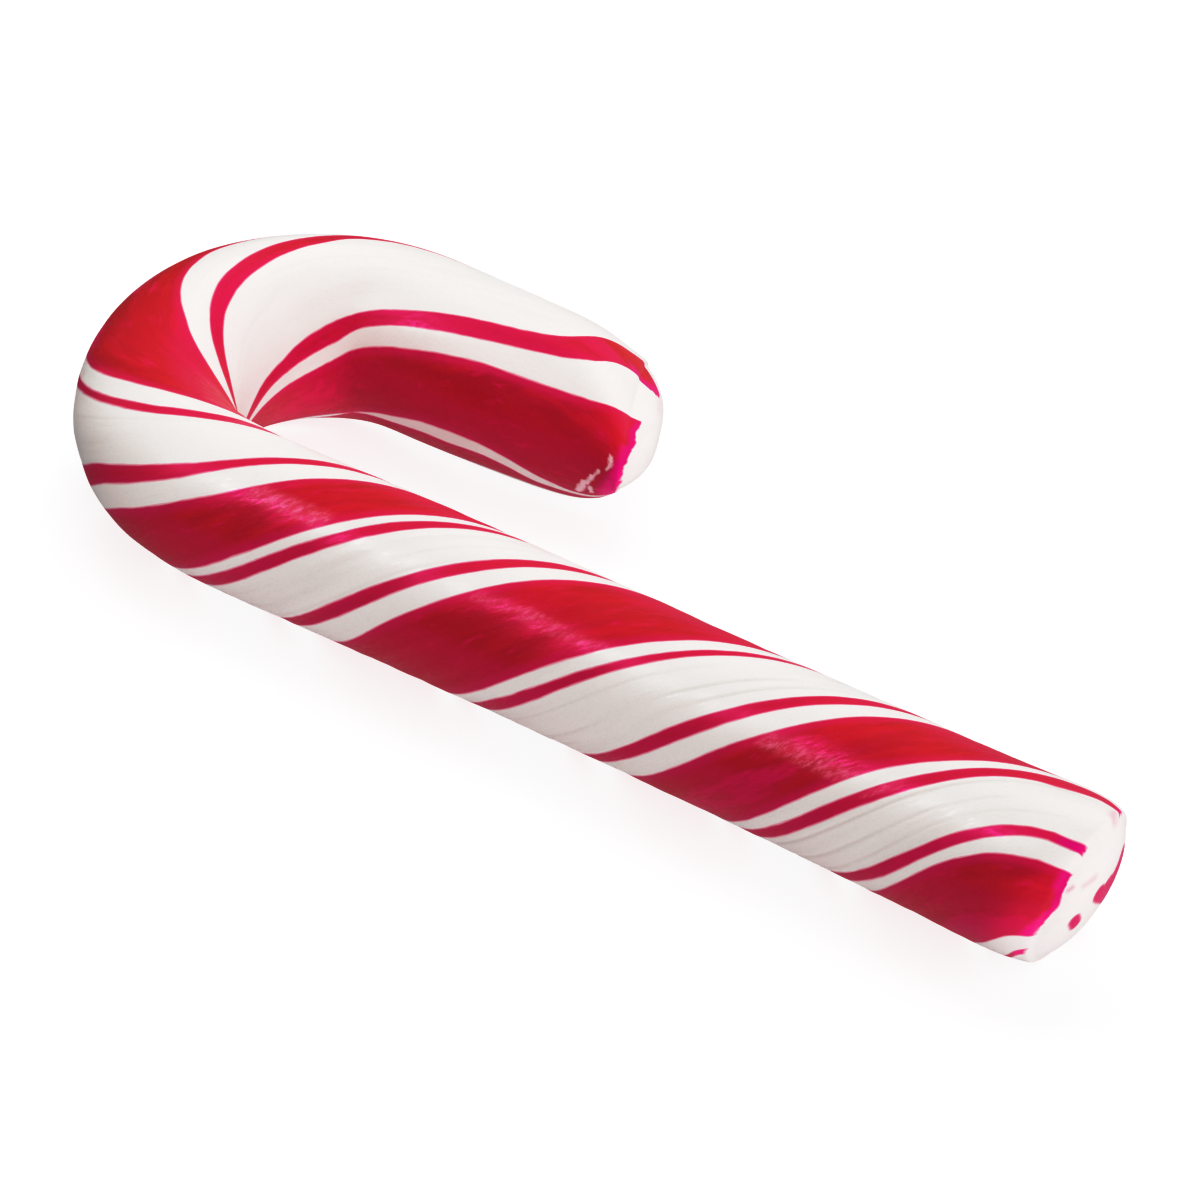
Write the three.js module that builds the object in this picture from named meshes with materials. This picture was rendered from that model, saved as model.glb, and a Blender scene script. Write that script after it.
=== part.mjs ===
// A hard-candy cane: one striped, twisted sugar rod, bent into a crook and lying flat.
// Millimetres. +X runs along the shaft to its free end, +Y across to the hook's arm, +Z up.
// The origin is under the middle of the crook's box, on the surface that the cane rests on.
import * as THREE from 'three';
import { mergeVertices } from 'three/addons/utils/BufferGeometryUtils.js';

// ---- Driving dimensions ------------------------------------------------------------------

const ROD_RADIUS = 8;

// Lengths along the middle of the rod, from the shaft's free end to the arm's tip.
const SHAFT_LENGTH = 96;
const BEND_LENGTH = 72.5;
const ARM_LENGTH = 22.8;
const ROD_LENGTH = SHAFT_LENGTH + BEND_LENGTH + ARM_LENGTH;

// Angles in degrees: the bend turns the rod right round, the shaft bows a little
// the other way, and the arm opens out slightly towards its tip.
const BEND_ANGLE = 182;
const SHAFT_BOW = -4;
const ARM_FLARE = -10;

// The bend starts softly, tightens towards the arm and lets go quickly (shares of its length).
const BEND_EASE_IN = 0.28;
const BEND_EASE_OUT = 0.12;
const BEND_TIGHTENING = 0.93;

// Radius of the rod by length: it spreads a little at the shaft's cut, swells where it was
// bent and thins again to the tip.
const RADII = [
  [0, 8.55],
  [20, 8.2],
  [45, ROD_RADIUS],
  [SHAFT_LENGTH, 8.1],
  [SHAFT_LENGTH + 24, 8.1],
  [SHAFT_LENGTH + 48.5, 9.4],
  [SHAFT_LENGTH + BEND_LENGTH, 9.1],
  [ROD_LENGTH, 8.65],
];

// The rod was soft when it was laid down, so it rests on a narrow flat land of this depth.
const LAND_DEPTH = 0.35;

// Left-hand twist of the stripes by length, in degrees per millimetre.
const TWIST_START = -43.5;
const TWIST_RATES = [
  [0, -1.45],
  [14, -5.85],
  [32, -5.15],
  [SHAFT_LENGTH + 25, -5.1],
  [SHAFT_LENGTH + 47, -1.1],
  [SHAFT_LENGTH + BEND_LENGTH, -1.8],
  [ROD_LENGTH, 0.3],
];

// Stripes once round the rod, in order: colour, width in degrees, facets across.
const STRIPES = [
  ['red', 82, 7],
  ['white', 17, 2],
  ['red', 10, 1],
  ['white', 50, 4],
  ['red', 10, 1],
  ['white', 15, 1],
  ['red', 59, 5],
  ['white', 19, 2],
  ['red', 13, 1],
  ['white', 60, 5],
  ['red', 9, 1],
  ['white', 16, 1],
];

// Both ends were snipped while the candy was soft. The cut leans (degrees) towards one side of
// the rod, the rod is pinched along one direction and spread across it over the last stretch,
// and the cut face bulges (millimetres). Sides are angles round the rod, from -Y towards +Z
// on the shaft.
const SHAFT_CUT = { lean: 19.5, leanSide: 75, pinch: 0.7, spread: 0.97, pinchSide: 10, reach: 7.8, bulge: 2.35 };
const TIP_CUT = { lean: 29, leanSide: 175, pinch: 0.47, spread: 1.18, pinchSide: 91, reach: 12.5, bulge: 3.25 };

// The pinch grows with this power of the nearness to the cut.
const PINCH_CURVE = 4;

// The bulge is flatter than a dome: its height falls off with this power of the way to the rim.
const CAP_FULLNESS = 2.7;

// A cut's lean fades out over this length of the rod.
const LEAN_REACH = 26;

// ---- Faceting ----------------------------------------------------------------------------

const RING_STEP = 1.4;
const RINGS_AT_CUT = [0, 0.12, 0.3, 0.55];
const CAP_SHARES = [0, 0.35, 0.62, 0.84];
const TRACE_STEP = 0.25;

const COLOURS = {
  red: new THREE.Color('#c01e2b'),
  white: new THREE.Color('#f4ede7'),
};

// ---- Helpers -----------------------------------------------------------------------------

const { degToRad, smoothstep, lerp, clamp } = THREE.MathUtils;

// Value at a length in a table of [length, value], eased from entry to entry.
function lookUp(table, length) {
  let value = table[0][1];
  for (let i = 1; i < table.length; i += 1) {
    const share = smoothstep(length, table[i - 1][0], table[i][0]);
    value = lerp(value, table[i][1], share);
  }
  return value;
}

// ---- Centre line -------------------------------------------------------------------------

function bendWeight(length) {
  const share = clamp((length - SHAFT_LENGTH) / BEND_LENGTH, 0, 1);
  const start = smoothstep(share, 0, BEND_EASE_IN);
  const end = 1 - smoothstep(share, 1 - BEND_EASE_OUT, 1);
  return start * end * (1 + BEND_TIGHTENING * (share - 0.5));
}

function flareWeight(length) {
  const bendEnd = SHAFT_LENGTH + BEND_LENGTH;
  return smoothstep(length, bendEnd - ROD_RADIUS, bendEnd + ROD_RADIUS);
}

// Samples of the rod's middle every TRACE_STEP: place, heading and turn of the stripes.
function traceRod() {
  const count = Math.round(ROD_LENGTH / TRACE_STEP);
  const middles = Array.from({ length: count }, (_, i) => (i + 0.5) * TRACE_STEP);
  const bendTotal = middles.reduce((sum, length) => sum + bendWeight(length), 0);
  const flareTotal = middles.reduce((sum, length) => sum + flareWeight(length), 0);
  const bowStep = (SHAFT_BOW * TRACE_STEP) / SHAFT_LENGTH;
  const samples = [{ x: 0, y: 0, heading: Math.PI + degToRad(SHAFT_BOW / 2), twist: degToRad(TWIST_START) }];
  for (const middle of middles) {
    const before = samples[samples.length - 1];
    const bend = (BEND_ANGLE * bendWeight(middle)) / bendTotal;
    const bow = middle < SHAFT_LENGTH ? bowStep : 0;
    const flare = (ARM_FLARE * flareWeight(middle)) / flareTotal;
    const turn = degToRad(bend + bow + flare);
    const heading = before.heading - turn / 2;
    samples.push({
      x: before.x + Math.cos(heading) * TRACE_STEP,
      y: before.y + Math.sin(heading) * TRACE_STEP,
      heading: before.heading - turn,
      twist: before.twist + degToRad(lookUp(TWIST_RATES, middle)) * TRACE_STEP,
    });
  }
  return samples;
}

const trace = traceRod();

// The rod at a length along it; past either end it carries straight on.
function rodAt(length) {
  const inside = clamp(length, 0, ROD_LENGTH);
  const index = Math.min(Math.floor(inside / TRACE_STEP), trace.length - 2);
  const from = trace[index];
  const to = trace[index + 1];
  const share = inside / TRACE_STEP - index;
  const heading = lerp(from.heading, to.heading, share);
  const radius = lookUp(RADII, length);
  const along = new THREE.Vector3(Math.cos(heading), Math.sin(heading), 0);
  const across = new THREE.Vector3(-along.y, along.x, 0);
  const centre = new THREE.Vector3(lerp(from.x, to.x, share), lerp(from.y, to.y, share), radius - LAND_DEPTH);
  centre.addScaledVector(along, length - inside);
  return { along, across, centre, radius, twist: lerp(from.twist, to.twist, share) };
}

// ---- Snipped ends ------------------------------------------------------------------------

// How far the leaning cut moves the rod's end outward on one side of the rod.
function leanOut(cut, side, radius) {
  return Math.tan(degToRad(cut.lean)) * radius * Math.cos(side - degToRad(cut.leanSide));
}

function leanFade(distance) {
  return 1 - smoothstep(distance, 0, LEAN_REACH);
}

// Squeezes a ring's section near a cut; section.x points across the rod and section.y up.
function pinchSection(cut, section, distance) {
  const closeness = clamp(1 - distance / cut.reach, 0, 1);
  const amount = closeness ** PINCH_CURVE;
  const origin = new THREE.Vector2(0, 0);
  const side = degToRad(cut.pinchSide);
  section.rotateAround(origin, -side);
  section.x *= lerp(1, cut.pinch, amount);
  section.y *= lerp(1, cut.spread, amount);
  section.rotateAround(origin, side);
}

// A point of the rod's skin: a ring of the straight rod and an angle among the stripes.
function skinPoint(ringLength, stripeAngle) {
  const toTip = ROD_LENGTH - ringLength;
  let length = ringLength;
  let side = 0;
  for (let pass = 0; pass < 3; pass += 1) {
    side = rodAt(length).twist + stripeAngle;
    const { radius } = rodAt(length);
    const shaftShift = leanOut(SHAFT_CUT, side, radius) * leanFade(ringLength);
    const tipShift = leanOut(TIP_CUT, side, radius) * leanFade(toTip);
    length = ringLength - shaftShift + tipShift;
  }
  const rod = rodAt(length);
  const section = new THREE.Vector2(Math.cos(side), Math.sin(side));
  pinchSection(SHAFT_CUT, section, ringLength);
  pinchSection(TIP_CUT, section, toTip);
  const point = rod.centre.clone();
  point.addScaledVector(rod.across, section.x * rod.radius);
  point.z += section.y * rod.radius;
  return point;
}

// A point of the bulging cut face, from its middle (share 0) to its rim (share 1).
function capPoint(ringLength, stripeAngle, share) {
  const atShaft = ringLength === 0;
  const cut = atShaft ? SHAFT_CUT : TIP_CUT;
  const { centre, along } = rodAt(ringLength);
  const outward = along.multiplyScalar(atShaft ? -1 : 1);
  const point = centre.clone().lerp(skinPoint(ringLength, stripeAngle), share);
  return point.addScaledVector(outward, cut.bulge * (1 - share ** CAP_FULLNESS));
}

// ---- Mesh --------------------------------------------------------------------------------

// Rings from the middle of one cut face to the middle of the other.
function makeRings() {
  const bodyEnd = RINGS_AT_CUT[RINGS_AT_CUT.length - 1];
  const bodySteps = Math.round((ROD_LENGTH - 2 * bodyEnd) / RING_STEP);
  const bodyStep = (ROD_LENGTH - 2 * bodyEnd) / bodySteps;
  const shaftCap = CAP_SHARES.map((share) => ({ share, length: 0 }));
  const shaftEnd = RINGS_AT_CUT.slice(0, -1).map((length) => ({ share: 1, length }));
  const body = Array.from({ length: bodySteps + 1 }, (_, i) => ({ share: 1, length: bodyEnd + i * bodyStep }));
  const mirrored = (ring) => ({ share: ring.share, length: ROD_LENGTH - ring.length });
  return [...shaftCap, ...shaftEnd, ...body, ...shaftEnd.map(mirrored).reverse(), ...shaftCap.map(mirrored).reverse()];
}

// Facet columns once round the rod: the angle where each starts, and its stripe's colour.
function makeColumns() {
  const columns = [];
  const whole = STRIPES.reduce((sum, [, width]) => sum + width, 0);
  let angle = 0;
  for (const [colour, width, facets] of STRIPES) {
    for (let i = 0; i < facets; i += 1) {
      columns.push({ colour, angle: 2 * Math.PI * (angle + (width * i) / facets) / whole });
    }
    angle += width;
  }
  return columns;
}

// The straight rod, as it is rolled: a lathed bar from pole to pole.
function straightRod(rings, columns) {
  const profile = rings.map((ring, i) => new THREE.Vector2(ring.share * ROD_RADIUS, i * RING_STEP));
  return new THREE.LatheGeometry(profile, columns.length);
}

// Bends, twists, pinches and flattens the straight rod into the cane.
function shapeCane(geometry, rings, columns) {
  const position = geometry.getAttribute('position');
  for (let i = 0; i < position.count; i += 1) {
    const column = columns[Math.floor(i / rings.length) % columns.length];
    const ring = rings[i % rings.length];
    const onSkin = ring.share === 1;
    const point = onSkin
      ? skinPoint(ring.length, column.angle)
      : capPoint(ring.length, column.angle, ring.share);
    position.setXYZ(i, point.x, point.y, Math.max(point.z, 0));
  }
  geometry.deleteAttribute('normal');
  geometry.deleteAttribute('uv');
  const shaped = mergeVertices(geometry);
  shaped.computeBoundingBox();
  const middle = shaped.boundingBox.getCenter(new THREE.Vector3());
  shaped.translate(-middle.x, -middle.y, 0);
  shaped.computeVertexNormals();
  return shaped;
}

// Colours each facet by its stripe; the cut faces are white.
function paintStripes(geometry, rings, columns) {
  const painted = geometry.toNonIndexed();
  const cornerCount = painted.getAttribute('position').count;
  const colours = new THREE.Float32BufferAttribute(new Float32Array(cornerCount * 3), 3);
  const bands = rings.length - 1;
  const capBands = CAP_SHARES.length;
  for (let corner = 0; corner < cornerCount; corner += 1) {
    const facet = Math.floor(corner / 6);
    const band = facet % bands;
    const onSkin = band >= capBands && band < bands - capBands;
    const colour = onSkin ? COLOURS[columns[Math.floor(facet / bands)].colour] : COLOURS.white;
    colours.setXYZ(corner, colour.r, colour.g, colour.b);
  }
  painted.setAttribute('color', colours);
  return painted;
}

function makeCane() {
  const rings = makeRings();
  const columns = makeColumns();
  const shaped = shapeCane(straightRod(rings, columns), rings, columns);
  const candy = new THREE.MeshStandardMaterial({ vertexColors: true, roughness: 0.18, metalness: 0 });
  const cane = new THREE.Mesh(paintStripes(shaped, rings, columns), candy);
  cane.name = 'cane';
  return cane;
}

const candyCane = new THREE.Group();
candyCane.add(makeCane());

export default candyCane;
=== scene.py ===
"""A striped hard-candy cane lying on a pale table. Lengths are in millimetres unless said."""
import math

import bpy
import numpy as np
from mathutils import Matrix, Vector


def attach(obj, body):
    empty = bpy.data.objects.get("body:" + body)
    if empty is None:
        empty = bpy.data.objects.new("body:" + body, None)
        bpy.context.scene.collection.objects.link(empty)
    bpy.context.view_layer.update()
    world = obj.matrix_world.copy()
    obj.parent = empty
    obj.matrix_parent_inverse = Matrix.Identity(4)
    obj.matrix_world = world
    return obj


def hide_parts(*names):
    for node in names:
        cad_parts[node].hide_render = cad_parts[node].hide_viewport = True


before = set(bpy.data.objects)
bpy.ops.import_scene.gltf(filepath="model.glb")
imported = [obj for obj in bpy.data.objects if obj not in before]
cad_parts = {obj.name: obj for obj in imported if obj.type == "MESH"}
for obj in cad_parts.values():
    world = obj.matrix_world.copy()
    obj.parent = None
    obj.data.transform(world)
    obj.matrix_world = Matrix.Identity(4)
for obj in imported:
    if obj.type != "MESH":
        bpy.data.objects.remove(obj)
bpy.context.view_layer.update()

MM = 0.001
TINY = 1e-6
rad = np.radians

# ---- The rod's driving dimensions, as in the solid ----------------------------------------

ROD_RADIUS = 8.0
SHAFT_LENGTH = 96.0
BEND_LENGTH = 72.5
ARM_LENGTH = 22.8
BEND_END = SHAFT_LENGTH + BEND_LENGTH
ROD_LENGTH = BEND_END + ARM_LENGTH
BEND_ANGLE = 182.0
SHAFT_BOW = -4.0
ARM_FLARE = -10.0
BEND_EASE_IN = 0.28
BEND_EASE_OUT = 0.12
BEND_TIGHTENING = 0.93
RADII = [
    (0, 8.55),
    (20, 8.2),
    (45, ROD_RADIUS),
    (SHAFT_LENGTH, 8.1),
    (SHAFT_LENGTH + 24, 8.1),
    (SHAFT_LENGTH + 48.5, 9.4),
    (BEND_END, 9.1),
    (ROD_LENGTH, 8.65),
]
LAND_DEPTH = 0.35
TWIST_START = -43.5
TWIST_RATES = [
    (0, -1.45),
    (14, -5.85),
    (32, -5.15),
    (SHAFT_LENGTH + 25, -5.1),
    (SHAFT_LENGTH + 47, -1.1),
    (BEND_END, -1.8),
    (ROD_LENGTH, 0.3),
]
STRIPES = [
    ("red", 82),
    ("white", 17),
    ("red", 10),
    ("white", 50),
    ("red", 10),
    ("white", 15),
    ("red", 59),
    ("white", 19),
    ("red", 13),
    ("white", 60),
    ("red", 9),
    ("white", 16),
]

# Each cut: how far it leans and towards which side, in degrees; how the rod is pinched and
# spread there, which side's width is pinched, and how far in; and how far its face bulges.
SHAFT_CUT = dict(
    lean=19.5, lean_side=75, pinch=0.7, spread=0.97, pinch_side=10, reach=7.8, bulge=2.35
)
TIP_CUT = dict(
    lean=29, lean_side=175, pinch=0.47, spread=1.18, pinch_side=91, reach=12.5, bulge=3.25
)
PINCH_CURVE = 4
CAP_FULLNESS = 2.7
LEAN_REACH = 26.0
LEAN_ROUNDS = 3
TRACE_STEP = 0.25

# Steps of the solid's rings along the rod and of its columns round it, in degrees.
SOLID_RING_STEP = 1.4
SOLID_COLUMN_STEP = 3

# ---- Fine shape ---------------------------------------------------------------------------

RING_STEP = 0.4
END_RING_STEP = 0.13
END_REACH = 6.5
COLUMNS = 300
CAP_RINGS = 40
RIM_ROUND = 0.45

# Faint long ridges: how many waves go round the rod, the first one's height, how fast the
# finer ones get lower, and how they wander and fade along the rod.
RIDGE_WAVES = (5, 8, 11, 15, 19, 24, 31)
RIDGE_HEIGHT = 0.09
RIDGE_FALL = 0.8
RIDGE_WANDER = 0.8
RIDGE_WANDER_RUN = (14, 30)
RIDGE_FADE = (0.6, 0.4)
RIDGE_FADE_RUN = (9, 21)

# Fine grooves in the wide white stripes: each angle has a row of strokes along the rod, drawn
# at random within these ranges.
GROOVE_ANGLES = (118, 131, 149, 287, 301, 322)
GROOVE_DEPTH = 0.09
GROOVE_WIDTH = 0.22
GROOVE_START = (-6, 10)
GROOVE_RUN = (14, 38)
GROOVE_GAP = (2, 16)
GROOVE_STRENGTH = (0.35, 1)
GROOVE_ON_BEND = 0.3
GROOVE_SWAY = (0.8, 2.2)
GROOVE_SWAY_RUN = 9
GROOVE_FADE_IN = 4
GROOVE_FADE_OUT = 5

# Painted reflection of the table: the red is pinker on the rod's lower half, as if lit from below.
# It fades back between these heights above the middle of the rod, as shares of its radius.
PAINTED_UNDERSIDE_FADE = (0.08, 0.36)

# A painted sheen, a pinker band of red, runs along the top of the hook's inner side. It comes in
# and goes out between these distances inwards from the middle of the rod, as shares of its radius.
SHEEN_BAND_START = (0.0, 0.35)
SHEEN_BAND_END = (0.5, 0.8)

# Soft dents: stripe angle, length along the rod, half its angle, half its length and depth.
DENTS = [
    (150, 159.5, 11, 4.5, 0.22),
    (292, 121, 16, 5, 0.12),
    (45, 58, 14, 6, 0.08),
    (300, 30, 13, 6, 0.08),
]


def smooth(value, low, high):
    """A smooth step from 0 at low to 1 at high."""
    share = np.clip((value - low) / (high - low), 0, 1)
    return share * share * (3 - 2 * share)


def look_up(table, length):
    """A table of (place, value) rows, read at a length and eased between its rows."""
    value = np.full_like(np.asarray(length, float), table[0][1])
    for (start, _), (end, to) in zip(table, table[1:]):
        value = value + (to - value) * smooth(length, start, end)
    return value


def turned(degrees, angle):
    """How far degrees are turned from an angle, between -180 and 180."""
    return (degrees - angle + 180) % 360 - 180


def from_spot(stripe, length, angle, place, half_angle, half_length):
    """Squared distance from the middle of a spot on the skin, 1 at its edge."""
    sideways = turned(np.degrees(stripe), angle) / half_angle
    return sideways**2 + ((length - place) / half_length) ** 2


def to_segment(points, start, end):
    """Distance from points to the straight line between two places."""
    run = end - start
    share = np.clip(((points - start) @ run) / (run @ run), 0, 1)
    return np.linalg.norm(points - start - share[..., None] * run, axis=-1)


def from_streak(degrees, along, start, end):
    """Distance on the unrolled skin from a streak between two (stripe angle, place) ends."""
    ends = [np.array([math.radians(angle) * ROD_RADIUS, place]) for angle, place in (start, end)]
    turns = [np.stack([rad(degrees - turn) * ROD_RADIUS, along], -1) for turn in (0, 360)]
    return np.minimum(*(to_segment(flat, *ends) for flat in turns))


# ---- Centre line --------------------------------------------------------------------------


def trace_rod():
    """The centre line, heading and twist of the rod, in small steps from its shaft's end."""
    count = round(ROD_LENGTH / TRACE_STEP)
    middle = (np.arange(count) + 0.5) * TRACE_STEP
    share = np.clip((middle - SHAFT_LENGTH) / BEND_LENGTH, 0, 1)
    eased = smooth(share, 0, BEND_EASE_IN) * (1 - smooth(share, 1 - BEND_EASE_OUT, 1))
    bend = eased * (1 + BEND_TIGHTENING * (share - 0.5))
    flare = smooth(middle, BEND_END - ROD_RADIUS, BEND_END + ROD_RADIUS)
    bow = np.where(middle < SHAFT_LENGTH, SHAFT_BOW * TRACE_STEP / SHAFT_LENGTH, 0)
    turn = rad(BEND_ANGLE * bend / bend.sum() + ARM_FLARE * flare / flare.sum() + bow)
    heading = np.pi + rad(SHAFT_BOW / 2) - np.concatenate([[0], np.cumsum(turn)])
    halfway = heading[:-1] - turn / 2
    twist_step = look_up(TWIST_RATES, middle) * TRACE_STEP
    return {
        "length": np.arange(count + 1) * TRACE_STEP,
        "x": np.concatenate([[0], np.cumsum(np.cos(halfway))]) * TRACE_STEP,
        "y": np.concatenate([[0], np.cumsum(np.sin(halfway))]) * TRACE_STEP,
        "heading": heading,
        "twist": rad(TWIST_START + np.concatenate([[0], np.cumsum(twist_step)])),
    }


TRACE = trace_rod()


def traced(name, length):
    return np.interp(length, TRACE["length"], TRACE[name])


def rod_at(length):
    """Directions along and across the rod, its centre, radius and twist at a length."""
    inside = np.clip(length, 0, ROD_LENGTH)
    heading = traced("heading", inside)
    none = np.zeros_like(heading)
    along = np.stack([np.cos(heading), np.sin(heading), none], -1)
    across = np.stack([-np.sin(heading), np.cos(heading), none], -1)
    radius = look_up(RADII, length)
    centre = np.stack([traced("x", inside), traced("y", inside), radius - LAND_DEPTH], -1)
    centre = centre + along * (length - inside)[..., None]
    return along, across, centre, radius, traced("twist", inside)


# ---- Skin ---------------------------------------------------------------------------------


def lean_out(cut, side, radius):
    """How far a leaning cut sticks out along the rod, at one side of it."""
    return math.tan(math.radians(cut["lean"])) * radius * np.cos(side - rad(cut["lean_side"]))


def lean_fade(distance):
    return 1 - smooth(distance, 0, LEAN_REACH)


def pinched(cut, u, v, distance):
    """A place on the round section, squeezed one way and spread the other near a cut."""
    closeness = np.clip(1 - distance / cut["reach"], 0, 1)
    amount = closeness**PINCH_CURVE
    cos, sin = math.cos(math.radians(cut["pinch_side"])), math.sin(math.radians(cut["pinch_side"]))
    a = (u * cos + v * sin) * (1 + (cut["pinch"] - 1) * amount)
    b = (v * cos - u * sin) * (1 + (cut["spread"] - 1) * amount)
    return a * cos - b * sin, a * sin + b * cos


def skin(ring, stripe, lift=0.0, rounding=RIM_ROUND):
    """Places, lengths along the rod and sides round it, for ring lengths and stripe angles."""
    ring, stripe = np.broadcast_arrays(np.asarray(ring, float), np.asarray(stripe, float))
    to_tip = ROD_LENGTH - ring
    length = ring
    for _ in range(LEAN_ROUNDS):
        _, _, _, radius, twist = rod_at(length)
        side = twist + stripe
        shaft_shift = lean_out(SHAFT_CUT, side, radius) * lean_fade(ring)
        tip_shift = lean_out(TIP_CUT, side, radius) * lean_fade(to_tip)
        length = ring - shaft_shift + tip_shift
    _, across, centre, radius, _ = rod_at(length)
    u, v = pinched(SHAFT_CUT, np.cos(side), np.sin(side), ring)
    u, v = pinched(TIP_CUT, u, v, to_tip)
    closeness = np.clip(1 - np.minimum(ring, to_tip) / max(rounding, TINY), 0, 1)
    radius = radius - rounding * (1 - np.sqrt(1 - closeness**2)) + lift
    place = centre + across * (u * radius)[..., None]
    place[..., 2] = np.maximum(place[..., 2] + v * radius, 0)
    return place, length, side


# ---- Stripes ------------------------------------------------------------------------------


def stripe_edges():
    """Angles round the rod at which the stripes change colour, in degrees."""
    widths = np.array([width for _, width in STRIPES], float)
    return np.concatenate([[0], np.cumsum(widths)]) * 360 / widths.sum()


EDGES = stripe_edges()

# Hand-laid stripes wander: degrees added to each edge by length along the rod. Even edges
# start a red stripe, odd edges end it.
EDGE_WANDER = [
    [(0, 30), (1.5, 32), (3, 28), (5, 20), (9, 11), (22, 0), (48, -4), (66, 0)],
    [(-3, -1), (-1, 3), (4, 5), (13, 4), (24, 0), (74, 0), (79, -0.5), (86, -6), (92, -5),
     (100, 0), (132, 0), (144, -12), (180, -12), (188, -16)],
    [(-3, -2), (-1.6, 0.3), (0.3, 1.4), (2, 2), (4, 0), (9, -3), (14, -3), (26, 2), (134, 3),
     (143, -1), (148, -6), (153, -12), (158, -20), (184, -20), (188, -25)],
    [(-3, -5), (-1, -3.6), (2, -2), (7, -4), (12, -4), (26, 2), (80, 4), (138, 3), (143, 1),
     (146, -1), (150, -5), (153.5, -10), (156, -18), (160, -22), (184, -22), (188, -27)],
    [(-2, -6), (4, -9), (9, -5), (20, -1), (90, 1), (108, 5), (130, 7), (143, 9), (150, 6),
     (160, 4), (172, 2), (180, 1), (183, -2), (185, -9), (186.2, -22), (187.1, -38), (187.8, -52),
     (188.4, -64)],
    [(-2, -10), (2, -5), (5, -3), (9, -4), (20, 0), (90, 0), (108, 6), (140, 8), (157, 8),
     (162, 5), (168, 3), (177, 5), (182, 4), (186, 0), (188, -7), (189.1, -14), (189.7, -31),
     (190.1, -41), (191, -47)],
    [(0, -8), (14, -5), (20, 0), (34, -4), (90, -4), (112, 3), (139, 3), (150, 4.5), (168, 3),
     (178, 6), (183, 8.4), (186, 8.3), (188.6, 6.7), (191, 2.4), (192.8, -6.7), (193.6, -15),
     (194.4, -29)],
    [(0, 20), (9, 6), (30, 1), (90, -9), (102, -7), (114, 4), (160, -6), (172, -6), (175, -3),
     (179, 2), (182.6, 9), (185.3, 18), (187, 20.5), (188.3, 24), (191, 26)],
    [(0, 22), (12, 4), (30, 2), (96, -5), (107, -1), (116, 7), (150, -12), (159, -24), (166, -19),
     (172, -14), (175, -9), (179, -6), (182, 0), (184.6, 8.5), (187.3, 10), (189, 12), (191, 13)],
    [(0, 22), (12, 4), (30, 0), (99, -8), (106, -5), (118, 10), (150, 0), (159, -12), (169, -8),
     (183, 6), (191, 12)],
    [(1.4, 36), (2.4, 33), (3.5, 24), (6, 18), (14, 6), (24, 0), (72, 1), (106, -8), (111, -8),
     (115, -6), (121, 1), (126, 6)],
    [(1.2, 33), (2.4, 29), (3.5, 19), (6, 12), (14, 4), (24, 0), (43, -3), (66, 3), (104, -5),
     (109, -3), (112, -6), (116, -7), (122, -1), (129, 4)],
]

# Offsets over which an edge's path is averaged, so that it bends rather than kinks.
WANDER_EASING = (-0.6, -0.2, 0.2, 0.6)


def wander_at(table, length):
    """Degrees added to one stripe edge at a length, eased round the table's corners."""
    lengths, degrees = zip(*table)
    paths = [np.interp(length + aside, lengths, degrees) for aside in WANDER_EASING]
    return sum(paths) / len(paths)


def stripe_depth(stripe, length, radius):
    """How far inside a red stripe a point lies, in millimetres; negative in the white."""
    degrees = np.degrees(stripe)
    nearest = np.full_like(degrees, 360.0)
    for index, wander in enumerate(EDGE_WANDER):
        beyond = turned(degrees - EDGES[index], wander_at(wander, length))
        into_red = beyond if index % 2 == 0 else -beyond
        nearest = np.where(np.abs(into_red) < np.abs(nearest), into_red, nearest)
    slope = rad(look_up(TWIST_RATES, length)) * radius
    return rad(nearest) * radius / np.sqrt(1 + slope**2)


# ---- Glaze at the cuts, and marks in it ---------------------------------------------------

# How far from each cut the red stops, by stripe angle; negative where it laps over the rim.
SHAFT_RED_STOP = [
    (0, 0.5), (20, 0.45), (28, 0.1), (36, 0), (42, -0.2), (48, -0.5), (54, -0.8), (64, -0.7),
    (72, -0.42), (82, -0.35), (93, -0.3), (100, 0), (110, 0.1), (170, 0.1), (185, 2.0),
    (212, 1.8), (222, 0.3), (320, 0.3), (360, 0.5),
]
TIP_RED_STOP = [
    (0, 0.3), (86, 0.2), (93, -2.6), (97, -3.2), (108, -3.3), (116, -2.8), (122, -1.6),
    (128, -0.2), (150, 0), (160, -1.3), (166, -1.45), (172, -1.2), (180, -0.9), (185, -0.95),
    (190, -1.15), (197, -0.7), (208, -0.5), (218, -0.25), (232, -0.1), (248, 0.1), (262, 0.3),
    (300, 0.4), (360, 0.3),
]

# How wide the red turns magenta inside those lines: partly the glaze's own colour, partly painted
# backlight glow.
SHAFT_GLOW_WIDTH = [
    (0, 1.2), (28, 1.3), (50, 0.9), (82, 1.1), (92, 3.0), (112, 3.0), (125, 1.0), (360, 1.2),
]
TIP_GLOW_WIDTH = [
    (0, 1.0), (90, 1.0), (104, 2.4), (124, 2.4), (140, 0.8), (164, 0.7), (180, 1.2), (220, 1.6),
    (240, 2.6), (262, 3.4), (300, 1.0), (360, 1.0),
]

# Patches where the red turns pinker: stripe angle, length along the rod, half its angle, half
# its length and strength.
PINK_PATCHES = [
    (102, 0, 14, 17, 0.9),
    (32, 4, 16, 7, 0.7),
    (205, 36, 16, 9, 0.4),
    (62, 121, 9, 4, 0.7),
    (332, 110, 8, 6, 0.8),
    (10, 135, 14, 6, 0.5),
    (42, 140, 10, 5, 0.4),
    (111, 141, 6, 8, 0.9),
    (216, 150, 20, 9, 0.4),
    (143, 188.8, 11, 4.5, 0.8),
]

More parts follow.
